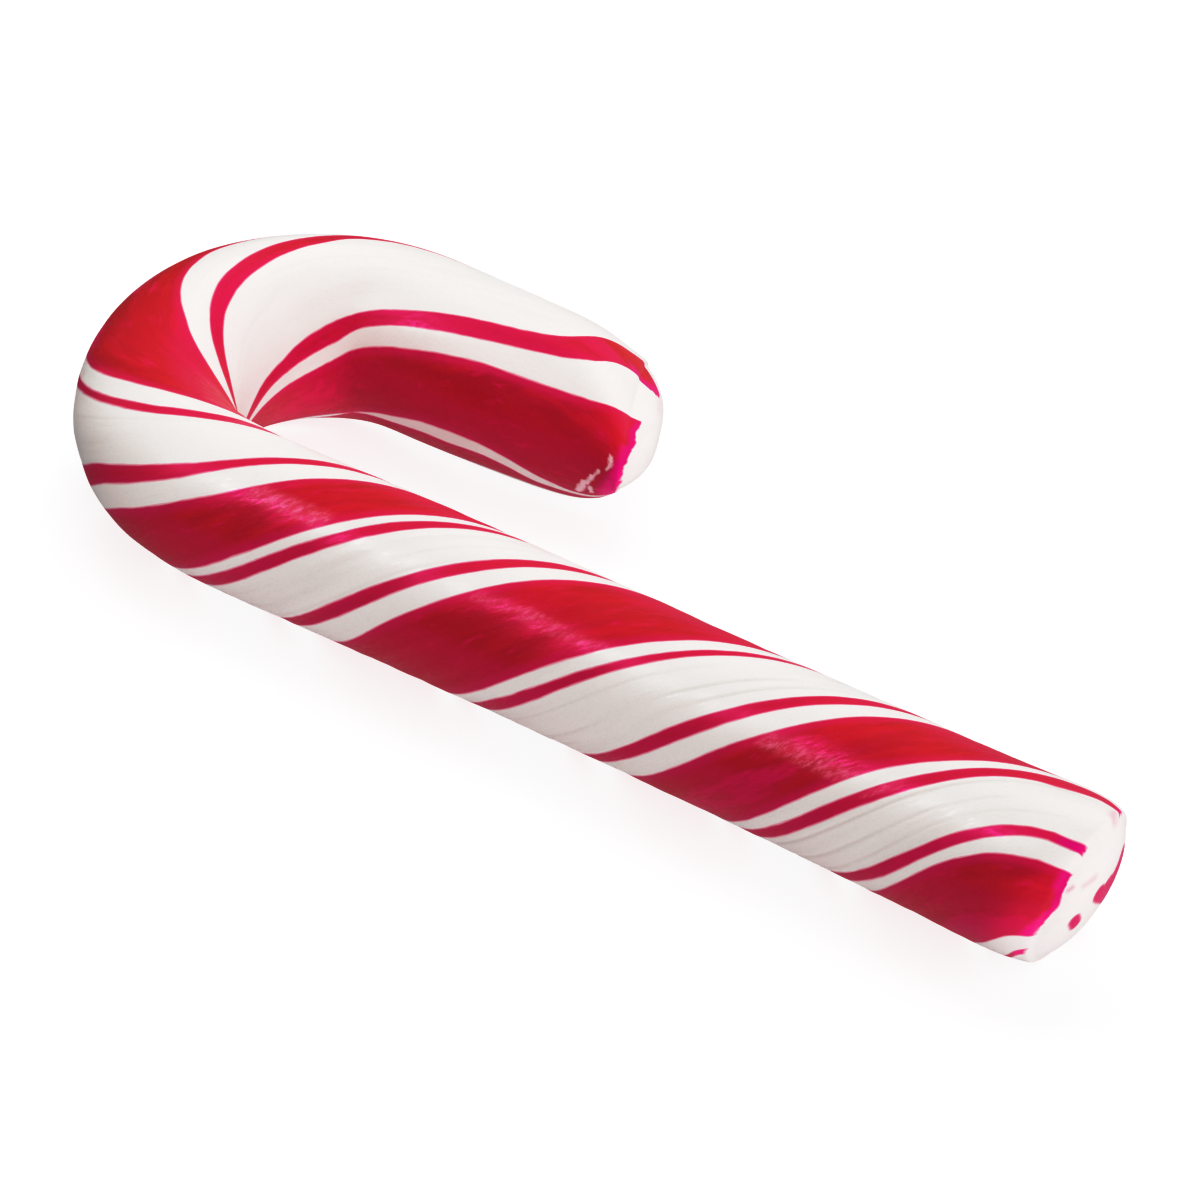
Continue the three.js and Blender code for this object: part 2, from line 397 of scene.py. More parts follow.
# Stains in the white, as streaks between two places: cut, both ends as (stripe angle, distance
# from the cut, negative on its face), half the streak's width, softness and strength.
STAINS = [
    ("shaft", (97, -7.2), (248, -4.7), 1.0, 0.35, 1.0),
    ("shaft", (202, -6.25), (184, -3.4), 1.35, 0.35, 1.0),
    ("shaft", (180, -6.85), (230, -5.2), 1.3, 0.35, 1.0),
    ("shaft", (14, -4.7), (28, -4.3), 0.72, 0.35, 1.0),
    ("shaft", (80, -2.7), (97, -3.6), 0.1, 0.7, 0.30),
    ("shaft", (70, -1.0), (74, -1.3), 0.1, 0.5, 0.45),
    ("shaft", (142, 0.2), (147, 0.4), 0.2, 0.8, 0.35),
    ("tip", (104, -3.8), (120, -4.2), 0.5, 1.6, 0.14),
    ("tip", (250, 4.0), (258, 4.6), 0.2, 0.8, 0.15),
]

# Painted highlights at the tip's rim, as pale flecks in the red glaze near the tip: two ends as
# (stripe angle, distance from the cut), and half the fleck's width.
TIP_RIM_GLINTS = [
    ((214, 1.2), (221, 1.25), 0.20),
    ((221, 1.3), (229, 1.7), 0.10),
    ((233, 2.6), (242, 3.4), 0.08),
    ((242, 3.4), (251, 4.1), 0.24),
    ((250, 4.2), (263, 4.9), 0.34),
    ((255, 3.7), (262, 3.5), 0.22),
]
NO_RIM_GLINT = 9.0

# Painted highlight specks, pink-white, along the glint line on the glaze: two ends as (stripe
# angle, length along the rod), half their width and strength.
PAINTED_GLINTS = [
    ((231, 99.2), (186, 90.2), 0.75, 1.0),
    ((77, 70), (50, 64.2), 0.5, 0.45),
    ((50, 64.2), (20, 58.8), 0.6, 0.6),
    ((20, 58.8), (-4, 53.8), 0.5, 0.45),
    ((240, 33), (180, 21.6), 0.7, 0.8),
    ((166, 19.8), (163, 17.2), 0.5, 0.6),
]

# Where a patch and a painted glint streak start to fade and where they end, as shares of their
# size.
PINK_FADE = (0.3, 1.2)
PAINTED_GLINT_FADE = (0.3, 1.5)

# The depth given to the middle of each cut face: outside any red stripe.
WHITE_MIDDLE = -1.0

# ---- Ridges, dents and grooves ------------------------------------------------------------


def pulled_ridges(stripe, length, seed=3):
    """Height of the faint long ridges that follow the stripes, in millimetres."""
    random = np.random.default_rng(seed)
    height = np.zeros_like(stripe)
    steady, swing = RIDGE_FADE
    for waves in RIDGE_WAVES:
        phase, pace, drift = random.uniform(0, 2 * np.pi, 3)
        wander = RIDGE_WANDER * np.sin(length / random.uniform(*RIDGE_WANDER_RUN) + drift)
        fade = steady + swing * np.sin(length / random.uniform(*RIDGE_FADE_RUN) + pace)
        height += np.sin(waves * stripe + phase + wander) * fade * RIDGE_HEIGHT / waves**RIDGE_FALL
    return height


def soft_dents(stripe, length):
    """Depth of the soft finger dents, in millimetres."""
    depth = np.zeros_like(stripe)
    for *spot, deep in DENTS:
        depth += deep * np.exp(-from_spot(stripe, length, *spot))
    return depth


def pulled_grooves(stripe, length, seed=12):
    """Depth of the fine grooves in the wide white stripes, as a share of GROOVE_DEPTH."""
    random = np.random.default_rng(seed)
    amount = np.zeros_like(stripe)
    for angle in GROOVE_ANGLES:
        start = random.uniform(*GROOVE_START)
        while start < ROD_LENGTH:
            run = random.uniform(*GROOVE_RUN)
            strength = random.uniform(*GROOVE_STRENGTH)
            sway, phase = random.uniform(*GROOVE_SWAY), random.uniform(0, 2 * np.pi)
            line = angle + sway * np.sin(length / GROOVE_SWAY_RUN + phase)
            come = smooth(length, start, start + GROOVE_FADE_IN)
            stay = 1 - smooth(length, start + run - GROOVE_FADE_OUT, start + run)
            window = come * stay
            if start + run / 2 > SHAFT_LENGTH:
                strength *= GROOVE_ON_BEND
            aside = rad(turned(np.degrees(stripe), line)) * ROD_RADIUS
            stroke = strength * window * np.exp(-((aside / GROOVE_WIDTH) ** 2))
            amount = np.maximum(amount, stroke)
            start += run + random.uniform(*GROOVE_GAP)
    return amount


# ---- Cut faces and place in the frame -----------------------------------------------------

CAP_SHARES = 1 - np.arange(1, CAP_RINGS) / CAP_RINGS


def cap(cut, rim, centre, outward):
    """Rings of a bulging cut face, from next to the rim to next to its middle."""
    shares = CAP_SHARES[:, None, None]
    return centre + (rim - centre) * shares + outward * cut["bulge"] * (1 - shares**CAP_FULLNESS)


def row_shift():
    """From the traced rod's own place to the row frame: the box's middle goes to the origin."""
    rings = np.append(np.arange(0, ROD_LENGTH, SOLID_RING_STEP), ROD_LENGTH)
    stripe = rad(np.arange(0, 360, SOLID_COLUMN_STEP))
    place, _, _ = skin(rings[:, None], stripe[None, :], rounding=0.0)
    along, _, centre, _, _ = rod_at(np.array([0, ROD_LENGTH]))
    shaft_face = cap(SHAFT_CUT, place[0][None], centre[0], -along[0])
    tip_face = cap(TIP_CUT, place[-1][None], centre[1], along[1])
    flat = np.concatenate([part.reshape(-1, 3) for part in (place, shaft_face, tip_face)])
    middle = (flat.min(0) + flat.max(0)) / 2
    return np.array([-middle[0], -middle[1], 0.0])


SHIFT = row_shift()

# ---- Strength of the marks ----------------------------------------------------------------


def on_face(angle, distance, radius):
    """A place near a cut, rolled flat. Beyond the rim, at negative distances, it runs inwards."""
    share = 1 - np.minimum(-np.minimum(distance, 0), radius) / radius
    return share * radius * np.cos(angle), share * radius * np.sin(angle), np.maximum(distance, 0)


def stain_amount(cut_name, stripe, distance, radius):
    """Strength of the pink stains near one cut, 0 to 1."""
    amount = np.zeros_like(stripe)
    points = np.stack(on_face(stripe, distance, radius), -1)
    for name, start, end, half, softness, strength in STAINS:
        if name == cut_name:
            middle = radius.mean()
            ends = [np.array(on_face(rad(angle), place, middle)) for angle, place in (start, end)]
            away = to_segment(points, *ends)
            fade = 1 - smooth(away, half - softness / 2, half + softness)
            amount = np.maximum(amount, strength * fade)
    return amount


def pink_amount(stripe, length):
    """Strength of the pinker patches, 0 to 1."""
    amount = np.zeros_like(stripe)
    for *spot, strength in PINK_PATCHES:
        fade = 1 - smooth(from_spot(stripe, length, *spot), *PINK_FADE)
        amount = np.maximum(amount, strength * fade)
    return amount


def rim_glint_distance(degrees, to_tip):
    """Distance outside the nearest painted rim highlight, in millimetres; negative inside it."""
    nearest = np.full_like(degrees, NO_RIM_GLINT)
    for start, end, half in TIP_RIM_GLINTS:
        nearest = np.minimum(nearest, from_streak(degrees, to_tip, start, end) - half)
    return nearest


def painted_glint_amount(degrees, length):
    """Strength of the painted glint specks, 0 to 1."""
    amount = np.zeros_like(degrees)
    inner, outer = PAINTED_GLINT_FADE
    for start, end, half, strength in PAINTED_GLINTS:
        away = from_streak(degrees, length, start, end)
        amount = np.maximum(amount, strength * (1 - smooth(away, inner * half, outer * half)))
    return amount


# ---- Mesh ---------------------------------------------------------------------------------

# What the material reads at every point: depth inside a red stripe, distance inside the red's
# line at a cut ("ink") and the same as a share of the magenta's width ("glow"), distance outside
# a painted rim highlight, and how much stain, pink, groove, painted underside reflection ("low"),
# painted glint and painted sheen band there is.
SKIN_VALUES = ("depth", "ink", "glow", "rim_glint", "stain", "pink", "groove", "low", "painted_glint", "sheen_band")

# Each cut: its shape, its red's line and magenta's width, its row of the skin, and its way out
# along the rod.
CUTS = {
    "shaft": (SHAFT_CUT, SHAFT_RED_STOP, SHAFT_GLOW_WIDTH, 0, -1),
    "tip": (TIP_CUT, TIP_RED_STOP, TIP_GLOW_WIDTH, -1, 1),
}


def ring_lengths():
    """Where the mesh's rings lie, closer together near the cuts."""
    end = np.arange(0, END_REACH, END_RING_STEP)
    count = round((ROD_LENGTH - 2 * END_REACH) / RING_STEP)
    body = np.linspace(END_REACH, ROD_LENGTH - END_REACH, count)
    return np.concatenate([end, body, (ROD_LENGTH - end)[::-1]])


def skin_rows(rings, columns):
    """The skin between the rims: places and material values on a grid of rings and columns."""
    ring, stripe = np.meshgrid(rings, columns, indexing="ij")
    _, length, _ = skin(ring, stripe)
    radius = look_up(RADII, length)
    groove = pulled_grooves(stripe, length)
    lift = pulled_ridges(stripe, length) - GROOVE_DEPTH * groove - soft_dents(stripe, length)
    place, length, side = skin(ring, stripe, lift)
    to_tip = ROD_LENGTH - ring
    degrees = np.degrees(stripe)
    shaft_ink = ring - look_up(SHAFT_RED_STOP, degrees)
    tip_ink = to_tip - look_up(TIP_RED_STOP, degrees)
    shaft_glow = shaft_ink / look_up(SHAFT_GLOW_WIDTH, degrees)
    tip_glow = tip_ink / look_up(TIP_GLOW_WIDTH, degrees)
    shaft_stain = stain_amount("shaft", stripe, ring, radius)
    tip_stain = stain_amount("tip", stripe, to_tip, radius)
    # The painted sheen band lies towards the hook's inner side, on the rod's upper half.
    inward = -np.cos(side)
    sheen_band = smooth(inward, *SHEEN_BAND_START) * (1 - smooth(inward, *SHEEN_BAND_END)) * (np.sin(side) > 0)
    return dict(
        place=place,
        rod=np.stack([radius * np.cos(stripe), radius * np.sin(stripe), length], -1),
        depth=stripe_depth(stripe, length, radius),
        ink=np.minimum(shaft_ink, tip_ink),
        glow=np.minimum(shaft_glow, tip_glow),
        rim_glint=rim_glint_distance(degrees, to_tip),
        stain=np.maximum(shaft_stain, tip_stain),
        pink=pink_amount(stripe, length),
        groove=groove,
        # Painted light from below: the table's reflection on the rod's lower half.
        low=1 - smooth(np.sin(side), *PAINTED_UNDERSIDE_FADE),
        # Painted highlight specks along the glint line.
        painted_glint=painted_glint_amount(degrees, length),
        # Painted sheen band.
        sheen_band=sheen_band,
    )


def face_rows(name, body, rings, columns):
    """A cut face's rows, from next to its rim to next to its middle, and the middle's values."""
    cut, stop, glow_width, row, way = CUTS[name]
    rim = {key: values[row][None] for key, values in body.items()}
    length = rim["rod"][..., 2]
    radius = look_up(RADII, length)
    degrees = np.degrees(columns)[None]
    along, _, centre, _, _ = rod_at(np.array(rings[row]))
    outward = along * way
    shares = CAP_SHARES[:, None]
    none = np.zeros((len(shares), len(columns)))
    beyond = -(1 - shares) * radius
    ink = beyond - look_up(stop, degrees)
    u, v = shares * radius * np.cos(columns), shares * radius * np.sin(columns)
    reach = rings[row] + (length - rings[row]) * shares
    face = dict(
        place=cap(cut, rim["place"], centre, outward),
        rod=np.stack([u, v, reach], -1),
        depth=rim["depth"] + none,
        ink=ink,
        glow=ink / look_up(glow_width, degrees),
        # No painted rim highlights on the cut faces.
        rim_glint=none + NO_RIM_GLINT,
        stain=stain_amount(name, columns + none, beyond + none, radius + none),
        pink=rim["pink"] + none,
        groove=none,
        # The painted underside reflection fades towards the face's middle.
        low=rim["low"] * shares,
        # No painted glint specks on the cut faces.
        painted_glint=none,
        # The painted sheen band fades towards the face's middle.
        sheen_band=rim["sheen_band"] * shares,
    )
    middle = {key: face[key][-1].mean() for key in SKIN_VALUES}
    middle.update(place=centre + outward * cut["bulge"], rod=np.array([0, 0, rings[row]]))
    middle["depth"] = WHITE_MIDDLE
    return face, middle


def build_cane():
    """The whole skin as one grid, from one cut face to the other, and the two faces' middles."""
    columns = np.arange(COLUMNS) * 2 * np.pi / COLUMNS
    rings = ring_lengths()
    body = skin_rows(rings, columns)
    shaft_face, shaft_middle = face_rows("shaft", body, rings, columns)
    tip_face, tip_middle = face_rows("tip", body, rings, columns)
    blocks = [{key: values[::-1] for key, values in shaft_face.items()}, body, tip_face]
    grid = {key: np.concatenate([block[key] for block in blocks]) for key in body}
    return grid, (shaft_middle, tip_middle)


def make_piece(name, grid, poles):
    """A closed mesh of the grid, with a fan to a pole at each end, and its material values."""
    rows, columns = grid["depth"].shape
    place = np.concatenate([grid["place"].reshape(-1, 3), [pole["place"] for pole in poles]])
    place = (place + SHIFT) * MM
    index = np.arange(rows * columns).reshape(rows, columns)
    right = np.roll(index, -1, 1)
    quads = np.stack([index[:-1], right[:-1], right[1:], index[1:]], -1).reshape(-1, 4)
    first, last = rows * columns, rows * columns + 1
    fan_first = np.stack([np.full(columns, first), right[0], index[0]], -1)
    fan_last = np.stack([np.full(columns, last), index[-1], right[-1]], -1)
    faces = [face for block in (quads, fan_first, fan_last) for face in block.tolist()]
    mesh = bpy.data.meshes.new(name)
    mesh.from_pydata(place.tolist(), [], faces)
    for key in SKIN_VALUES:
        values = np.concatenate([grid[key].ravel(), [pole[key] for pole in poles]])
        layer = mesh.attributes.new(key, "FLOAT", "POINT")
        layer.data.foreach_set("value", values.astype(np.float32))
    rod = np.concatenate([grid["rod"].reshape(-1, 3), [pole["rod"] for pole in poles]])
    layer = mesh.attributes.new("rod", "FLOAT_VECTOR", "POINT")
    layer.data.foreach_set("vector", rod.astype(np.float32).ravel())
    mesh.polygons.foreach_set("use_smooth", [True] * len(mesh.polygons))
    mesh.update()
    piece = bpy.data.objects.new(name, mesh)
    bpy.context.scene.collection.objects.link(piece)
    return piece


# ---- Materials ----------------------------------------------------------------------------


class Nodes:
    """Short names for building the node tree of a material or a world."""

    def __init__(self, owner):
        owner.use_nodes = True
        self.tree = owner.node_tree
        self.tree.nodes.clear()

    def add(self, kind, inputs=None, **settings):
        node = self.tree.nodes.new(kind)
        for key, value in settings.items():
            setattr(node, key, value)
        for key, value in (inputs or {}).items():
            self.put(node.inputs[key], value)
        return node

    def put(self, socket, value):
        if isinstance(value, bpy.types.NodeSocket):
            self.tree.links.new(value, socket)
        else:
            socket.default_value = value

    def math(self, operation, a, b=0.0, c=0.0):
        return self.add("ShaderNodeMath", {0: a, 1: b, 2: c}, operation=operation).outputs[0]

    def swing(self, value, reach):
        """A value between 0 and 1, spread over reach to either side of 0."""
        return self.math("MULTIPLY_ADD", value, 2 * reach, -reach)

    def ramp(self, value, low, high, to_low=0.0, to_high=1.0):
        ends = {"From Min": low, "From Max": high, "To Min": to_low, "To Max": to_high}
        inputs = {"Value": value, **ends}
        node = self.add("ShaderNodeMapRange", inputs, interpolation_type="SMOOTHSTEP")
        return node.outputs["Result"]

    def attribute(self, name, output):
        return self.add("ShaderNodeAttribute", attribute_name=name).outputs[output]

    def noise(self, vector, scale, detail, roughness):
        scaled = self.add("ShaderNodeVectorMath", {0: vector, 1: scale}, operation="MULTIPLY")
        inputs = {"Vector": scaled.outputs["Vector"], "Scale": 1.0}
        node = self.add("ShaderNodeTexNoise", {**inputs, "Detail": detail, "Roughness": roughness})
        return node.outputs["Fac"]

    def mix(self, share, a, b):
        """Colour a where the share is 0 and colour b where it is 1."""
        return self.add("ShaderNodeMix", {0: share, 6: a, 7: b}, data_type="RGBA").outputs[2]


WHITE = (0.86, 0.83, 0.80, 1)
# Greyer white: the sugar's mottling, and painted shade in the grooves.
WHITE_GREY_AND_GROOVE_SHADE = (0.66, 0.62, 0.585, 1)
WHITE_BLUSH = (0.82, 0.46, 0.55, 1)
STAIN = (0.64, 0.008, 0.17, 1)
RED = (0.64, 0.020, 0.022, 1)
RED_DARK = (0.55, 0.017, 0.019, 1)
# Painted reflection of the table: pinker red on the rod's lower half.
RED_PAINTED_UNDERSIDE = (0.61, 0.019, 0.056, 1)
RED_PINK = (0.66, 0.018, 0.080, 1)
# Pinker red for stripe borders and patches, and for the painted sheen band.
RED_EDGE_AND_SHEEN = (0.68, 0.018, 0.13, 1)
# Magenta at the cuts: the glaze's own colour there, with painted backlight glow.
RED_GLOW = (0.72, 0.008, 0.25, 1)
# Painted light: the magenta at the cuts made brighter on the rod's shaded lower half.
RED_GLOW_PAINTED_UNDERSIDE = (0.88, 0.010, 0.31, 1)
# Painted highlight: pale flecks at the tip's rim.
RIM_GLINT = (0.88, 0.70, 0.74, 1)
# Painted highlight: pink-white specks along the glint line.
GLINT_PINK = (0.86, 0.24, 0.38, 1)
RED_GLINT = (1.0, 0.03, 0.72, 1)
WHITE_GLINT = (0.5, 0.5, 0.5, 1)

# Noises in the candy: waves per millimetre across the rod and along it, detail and roughness.
NOISES = {
    "wave": (0.3, 0.1, 3.0, 0.55),
    "nibble": (1.7, 0.5, 3.0, 0.55),
    "ragged": (0.8, 0.8, 2.0, 0.55),
    "rim_glint_ragged": (2.2, 2.2, 3.0, 0.55),
    "mottle": (0.45, 0.12, 5.0, 0.55),
    "grain": (5.0, 4.0, 3.0, 0.7),
    "blotch": (0.9, 0.35, 4.0, 0.55),
    "speck": (1.5, 1.1, 5.0, 0.7),
    "cloud": (0.35, 0.05, 4.0, 0.55),
    "smear": (1.6, 1.6, 3.0, 0.55),
    "streak": (2.6, 0.9, 4.0, 0.65),
    "patch": (0.22, 0.1, 2.0, 0.55),
    "pull": (2.0, 0.2, 2.0, 0.5),
    "pebble": (2.2, 1.6, 3.0, 0.55),
}

# How far noises move a stripe's border, the red's line at a cut and a painted rim highlight's
# edge, in millimetres, and the magenta's end, as a share of its width.
WAVE_REACH = 0.2
NIBBLE_REACH = 0.08
RAGGED_REACH = 0.35
RIM_GLINT_REACH = 0.35
GLOW_REACH = 0.3

# Ranges from where a look starts to where it is full. Two more numbers are its strength at both.
STRIPE_EDGE = (-0.1, 0.08)
CUT_EDGE = (-0.08, 0.08)
BLUSH_EDGE = (-0.2, -0.05)
MOTTLE = (0.35, 0.65)
SHADE_DEPTH = (1.0, 5.0)
SHADE_FROM_CUT = (1.0, 9.0, 0.1, 0.6)
RED_GRAIN = (0.45, 0.75, 0.0, 0.5)
BLOTCH = (0.54, 0.74)
BORDER_BAND = (1.3, 0.2)
BORDER_LINE = (0.3, 0.0)
PINK_MOTTLE = (0.3, 0.6, 0.35, 0.9)
MAGENTA = (1.0, 0.35)
SPECK = (0.44, 0.70, 0.15, 1.0)
RIM_GLINT_EDGE = (0.2, -0.14)
CLOUD = (0.45, 0.75)
WHITE_GRAIN = (0.45, 0.75, 0.0, 0.22)
SMEAR = (0.25, 0.45, 0.85, 1.0)
SHINE_STREAK = (0.4, 0.62)
SHINE_PATCH = (0.36, 0.56)

# Strengths, and the candy's surface.
# Strength of the painted sheen band.
SHEEN_BAND_STRENGTH = 0.6
PINK_IN_BLOTCH = 0.5
BORDER_STRENGTH = 0.6
CLOUD_STRENGTH = 0.16
# Strength of the painted shade in the grooves.
GROOVE_PAINTED_SHADE = 0.4
ROUGHNESS = 0.46
SHINE = 0.16
PULL_RELIEF = 0.35
BUMP_STRENGTH = 0.25
BUMP_HEIGHT = 0.1 * MM
GLOSS = 0.6
MILKINESS = 0.1
MILK_REACH = (1.2 * MM, 0.6 * MM, 0.6 * MM)


def candy_material():
    material = bpy.data.materials.new("candy_stripes")
    n = Nodes(material)
    rod = n.attribute("rod", "Vector")
    values = [n.attribute(name, "Fac") for name in SKIN_VALUES]
    depth, ink, glow, rim_glint, stain, pink, groove, low, painted_glint, sheen_band = values

    def noise(name):
        across, along, detail, roughness = NOISES[name]
        return n.noise(rod, (across, across, along), detail, roughness)

    # Slightly wavy stripe borders, ragged where the red stops at a cut.
    wander, nibble = n.swing(noise("wave"), WAVE_REACH), n.swing(noise("nibble"), NIBBLE_REACH)
    depth = n.math("ADD", depth, n.math("ADD", wander, nibble))
    ink = n.math("ADD", ink, n.swing(noise("ragged"), RAGGED_REACH))
    # Ragged edge of the painted rim highlights.
    rim_glint = n.math("ADD", rim_glint, n.swing(noise("rim_glint_ragged"), RIM_GLINT_REACH))
    covered = n.math("MULTIPLY", n.ramp(ink, *CUT_EDGE), n.ramp(depth, *STRIPE_EDGE))

    # Red glaze: mottled, and darker far inside a stripe, but less so near a cut.
    red = n.mix(n.ramp(noise("mottle"), *MOTTLE), RED_DARK, RED)
    shade = n.math("MULTIPLY", n.ramp(depth, *SHADE_DEPTH), n.ramp(glow, *SHADE_FROM_CUT))
    red = n.mix(shade, red, RED_DARK)
    # Painted reflection of the table: pinker red on the rod's lower half.
    red = n.mix(low, red, RED_PAINTED_UNDERSIDE)
    # Painted sheen: a pinker band along the top of the hook's inner side.
    red = n.mix(n.math("MULTIPLY", sheen_band, SHEEN_BAND_STRENGTH), red, RED_EDGE_AND_SHEEN)
    grain = noise("grain")
    red = n.mix(n.ramp(grain, *RED_GRAIN), red, RED_DARK)

    # It is pinker in blotches, in patches and at its borders.
    blotch = noise("blotch")
    blotchy = n.math("ADD", blotch, n.math("MULTIPLY", pink, PINK_IN_BLOTCH))
    red = n.mix(n.ramp(blotchy, *BLOTCH), red, RED_PINK)
    border = n.math("MULTIPLY", n.ramp(depth, *BORDER_BAND), BORDER_STRENGTH)
    patch = n.math("MULTIPLY", pink, n.ramp(blotch, *PINK_MOTTLE))
    border = n.math("MAXIMUM", border, patch)
    border = n.math("MAXIMUM", border, n.ramp(depth, *BORDER_LINE))
    red = n.mix(border, red, RED_EDGE_AND_SHEEN)

    # At the cuts it turns magenta, partly its own colour and partly painted backlight glow. It has
    # painted pink-white highlight specks along the glint line, and pale painted highlights at the
    # tip's rim.
    glow = n.math("ADD", glow, n.swing(blotch, GLOW_REACH))
    red = n.mix(n.ramp(glow, *MAGENTA), red, n.mix(low, RED_GLOW, RED_GLOW_PAINTED_UNDERSIDE))
    # Painted highlight: pink-white specks along the glint line.
    red = n.mix(n.math("MULTIPLY", painted_glint, n.ramp(noise("speck"), *SPECK)), red, GLINT_PINK)
    # Painted highlight: pale flecks at the tip's rim.
    red = n.mix(n.ramp(rim_glint, *RIM_GLINT_EDGE), red, RIM_GLINT)

    # White sugar: mottled greyer, with painted shade in its grooves, blushing next to the red, and
    # stained at the cuts.
    cloud = n.math("MULTIPLY", n.ramp(noise("cloud"), *CLOUD), CLOUD_STRENGTH)
    cloud = n.math("ADD", cloud, n.ramp(grain, *WHITE_GRAIN))
    grey_and_groove_shade = n.math("ADD", cloud, n.math("MULTIPLY", groove, GROOVE_PAINTED_SHADE))
    white = n.mix(grey_and_groove_shade, WHITE, WHITE_GREY_AND_GROOVE_SHADE)
    white = n.mix(n.ramp(n.math("MINIMUM", depth, ink), *BLUSH_EDGE), white, WHITE_BLUSH)
    smear = n.math("MULTIPLY", stain, n.ramp(noise("smear"), *SMEAR))
    white = n.mix(smear, white, STAIN)

    # Gloss comes and goes in fine streaks along the pull, and the skin is faintly pebbled.
    streaks, patches = n.ramp(noise("streak"), *SHINE_STREAK), n.ramp(noise("patch"), *SHINE_PATCH)
    shine = n.math("MULTIPLY", streaks, patches)
    relief = n.math("MULTIPLY_ADD", noise("pull"), PULL_RELIEF, noise("pebble"))
    bump = n.add(
        "ShaderNodeBump",
        {"Strength": BUMP_STRENGTH, "Distance": BUMP_HEIGHT, "Height": relief},
    )
    shader = n.add(
        "ShaderNodeBsdfPrincipled",
        {
            "Base Color": n.mix(covered, white, red),
            "Roughness": n.math("MULTIPLY_ADD", shine, -SHINE, ROUGHNESS),
            "Normal": bump.outputs["Normal"],
            "Specular IOR Level": GLOSS,
            "Specular Tint": n.mix(n.math("MAXIMUM", covered, smear), WHITE_GLINT, RED_GLINT),
            "Subsurface Weight": MILKINESS,
            "Subsurface Radius": MILK_REACH,
            "Subsurface Scale": 1.0,
        },
    )
    n.add("ShaderNodeOutputMaterial", {"Surface": shader.outputs["BSDF"]})
    return material


# A pale table lit a little from within, so that only a faint shadow shows on it.
FLOOR_PALE = (0.515, 0.515, 0.515, 1)
FLOOR_WHITE = (0.53, 0.53, 0.53, 1)
FLOOR_CATCH = (0.30, 0.30, 0.30, 1)
FLOOR_GLOW = 1.42
FLOOR_ROUGHNESS = 0.9
FLOOR_WAVES_PER_METRE = 3.0
FLOOR_CLOUD = (0.2, 0.8)


def floor_material():
    material = bpy.data.materials.new("table")
    n = Nodes(material)
    position = n.add("ShaderNodeNewGeometry").outputs["Position"]
    cloud = n.noise(position, (FLOOR_WAVES_PER_METRE,) * 3, 3.0, 0.55)
    shader = n.add(
        "ShaderNodeBsdfPrincipled",
        {
            "Base Color": FLOOR_CATCH,
            "Roughness": FLOOR_ROUGHNESS,
            "Specular IOR Level": 0.0,
            "Emission Color": n.mix(n.ramp(cloud, *FLOOR_CLOUD), FLOOR_PALE, FLOOR_WHITE),
            "Emission Strength": FLOOR_GLOW,
        },
    )
    n.add("ShaderNodeOutputMaterial", {"Surface": shader.outputs["BSDF"]})
    return material


# ---- Cane ---------------------------------------------------------------------------------

cane = make_piece("candy_cane", *build_cane())
cane.data.materials.append(candy_material())
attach(cane, "root")
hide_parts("cane")

# ---- Table --------------------------------------------------------------------------------

# Half the table's side and how far it lies below the cane, in metres.
FLOOR_HALF = 3.0
FLOOR_GAP = 0.0001
SQUARE = ((-1, -1), (1, -1), (1, 1), (-1, 1))

floor_mesh = bpy.data.meshes.new("table_top")
corners = [(x * FLOOR_HALF, y * FLOOR_HALF, -FLOOR_GAP) for x, y in SQUARE]
floor_mesh.from_pydata(corners, [], [(0, 1, 2, 3)])
floor = bpy.data.objects.new("table_top", floor_mesh)
floor.data.materials.append(floor_material())
bpy.context.scene.collection.objects.link(floor)
floor.visible_diffuse = False
floor.visible_glossy = False
floor.visible_shadow = False

# ---- Light --------------------------------------------------------------------------------

ROOM_LEVEL = 0.65
ROOM_SLOPE = (0.60, -0.06, -0.02)
ROOM_LOW = (1.0, 0.92, 0.95, 1)
ROOM_HIGH = (1.0, 1.0, 1.0, 1)

# Lamps: direction from the cane, width and height in metres, power, and the kind of light in
# which the lamp isn't seen.
LAMP_DISTANCE = 1.2
LAMPS = {
    "panel": ((-0.35, 0.44, 0.83), (1.0, 0.8), 6.8, "glossy"),
    "far": ((-0.50, 0.80, 0.33), (0.8, 0.4), 0.5, "glossy"),
    "left": ((-0.90, -0.06, 0.43), (0.8, 0.6), 2.9, "glossy"),
    "glint": ((-0.587, -0.425, 0.689), (0.14, 0.14), 3.4, "diffuse"),
}
CONTRAST = [(0.2, 0.11), (0.43, 0.325), (0.55, 0.55), (0.7, 0.77), (0.85, 0.895)]


def studio_world():
    """A plain white room, brightening evenly from one side to the other."""
    world = bpy.data.worlds.new("studio")
    n = Nodes(world)
    toward = n.add("ShaderNodeTexCoord").outputs["Generated"]
    height = n.add("ShaderNodeSeparateXYZ", {0: toward}).outputs["Z"]
    upward = n.add("ShaderNodeMapRange", {"Value": height, "From Min": -1.0}).outputs["Result"]
    slope = n.add("ShaderNodeVectorMath", {0: toward, 1: ROOM_SLOPE}, operation="DOT_PRODUCT")
    level = n.math("ADD", slope.outputs["Value"], ROOM_LEVEL)
    tint = n.mix(upward, ROOM_LOW, ROOM_HIGH)
    background = n.add("ShaderNodeBackground", {"Color": tint, "Strength": level})
    n.add("ShaderNodeOutputWorld", {"Surface": background.outputs["Background"]})
    bpy.context.scene.world = world


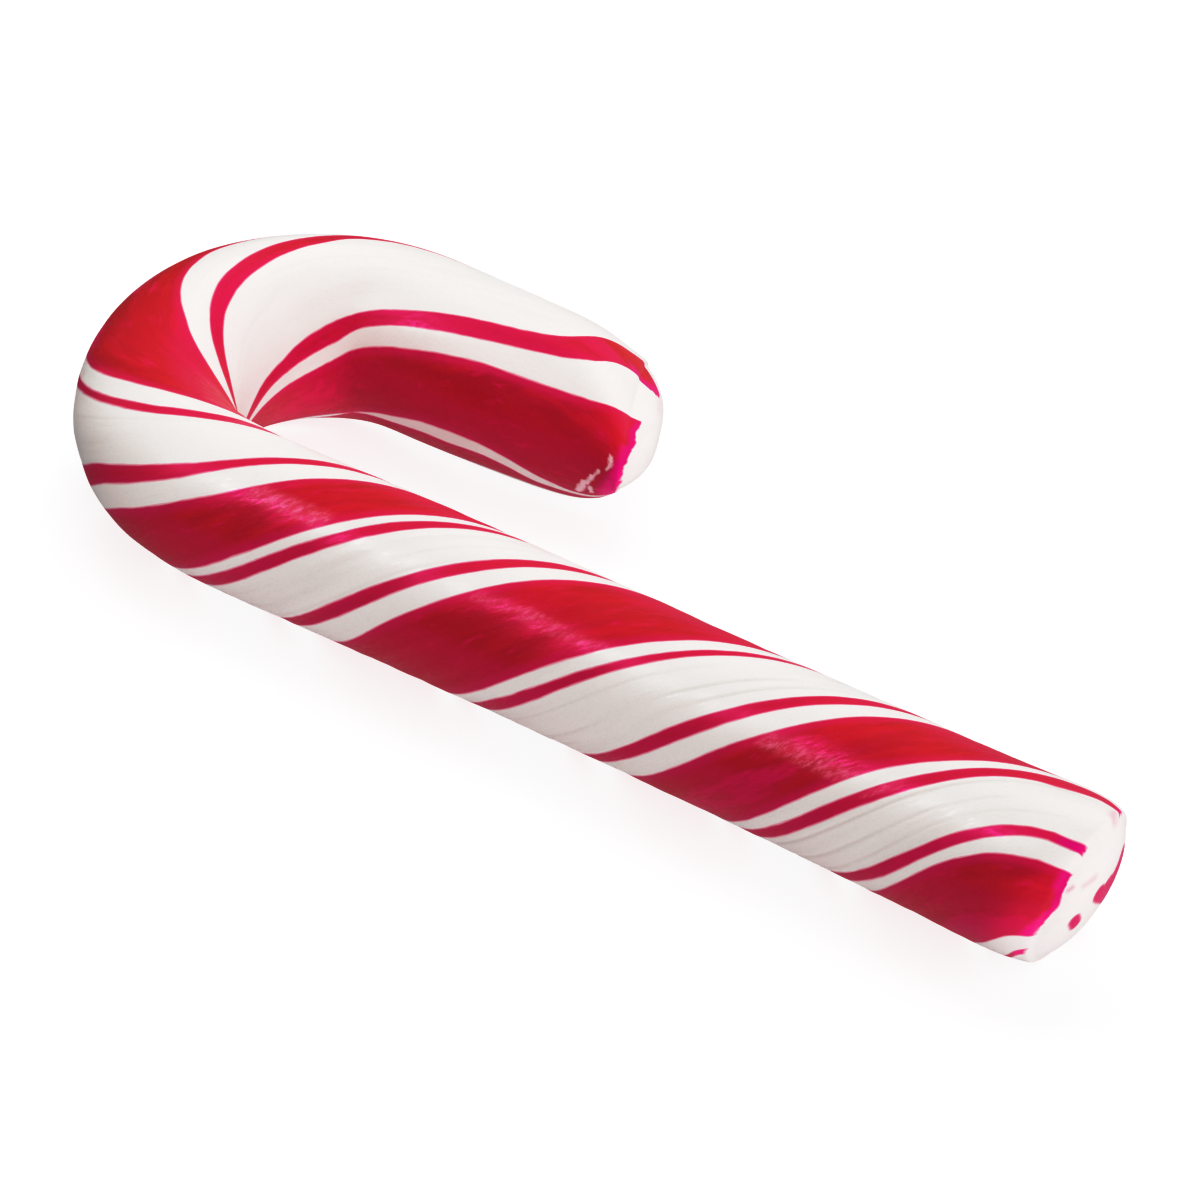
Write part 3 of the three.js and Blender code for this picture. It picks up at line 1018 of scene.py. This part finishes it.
def studio_look():
    """Standard colours with a photographer's contrast."""
    view = bpy.context.scene.view_settings
    view.view_transform = "Standard"
    view.use_curve_mapping = True
    combined = view.curve_mapping.curves[3]
    for place, value in CONTRAST:
        combined.points.new(place, value)
    view.curve_mapping.update()


def softbox(name, direction, size, power, unseen_in):
    light = bpy.data.lights.new(name, "AREA")
    light.shape = "RECTANGLE"
    light.size, light.size_y = size
    light.energy = power
    lamp = bpy.data.objects.new(name, light)
    toward = Vector(direction).normalized()
    lamp.location = toward * LAMP_DISTANCE
    lamp.rotation_euler = toward.to_track_quat("Z", "Y").to_euler()
    setattr(lamp, "visible_" + unseen_in, False)
    bpy.context.scene.collection.objects.link(lamp)


studio_world()
studio_look()
for name, lamp in LAMPS.items():
    softbox(name, *lamp)

# ---- Camera -------------------------------------------------------------------------------

CAMERA_AZIMUTH = 42.47
CAMERA_ELEVATION = 29.64
CAMERA_DISTANCE = 764.84
CAMERA_LENS = 240.0
CAMERA_SENSOR = 36.0
CAMERA_CLIP = (0.01, 20)
AIM_FROM_BEND = (28.57, 9.34)
AIM_HEIGHT = 8.0


def make_camera():
    straight = TRACE["length"] < SHAFT_LENGTH
    origin = np.array([traced("x", SHAFT_LENGTH), TRACE["y"][straight].mean()])
    aim = np.array([*(origin + AIM_FROM_BEND), AIM_HEIGHT]) + SHIFT
    azimuth, elevation = math.radians(CAMERA_AZIMUTH), math.radians(CAMERA_ELEVATION)
    flat = math.cos(elevation)
    back = Vector((math.sin(azimuth) * flat, -math.cos(azimuth) * flat, math.sin(elevation)))
    right = Vector((math.cos(azimuth), math.sin(azimuth), 0))
    up = back.cross(right)
    data = bpy.data.cameras.new("camera")
    data.lens = CAMERA_LENS
    data.sensor_width = CAMERA_SENSOR
    data.clip_start, data.clip_end = CAMERA_CLIP
    camera = bpy.data.objects.new("camera", data)
    place = Matrix((right, up, back)).transposed().to_4x4()
    place.translation = (Vector(aim) + back * CAMERA_DISTANCE) * MM
    camera.matrix_world = place
    bpy.context.scene.collection.objects.link(camera)
    bpy.context.scene.camera = camera


make_camera()
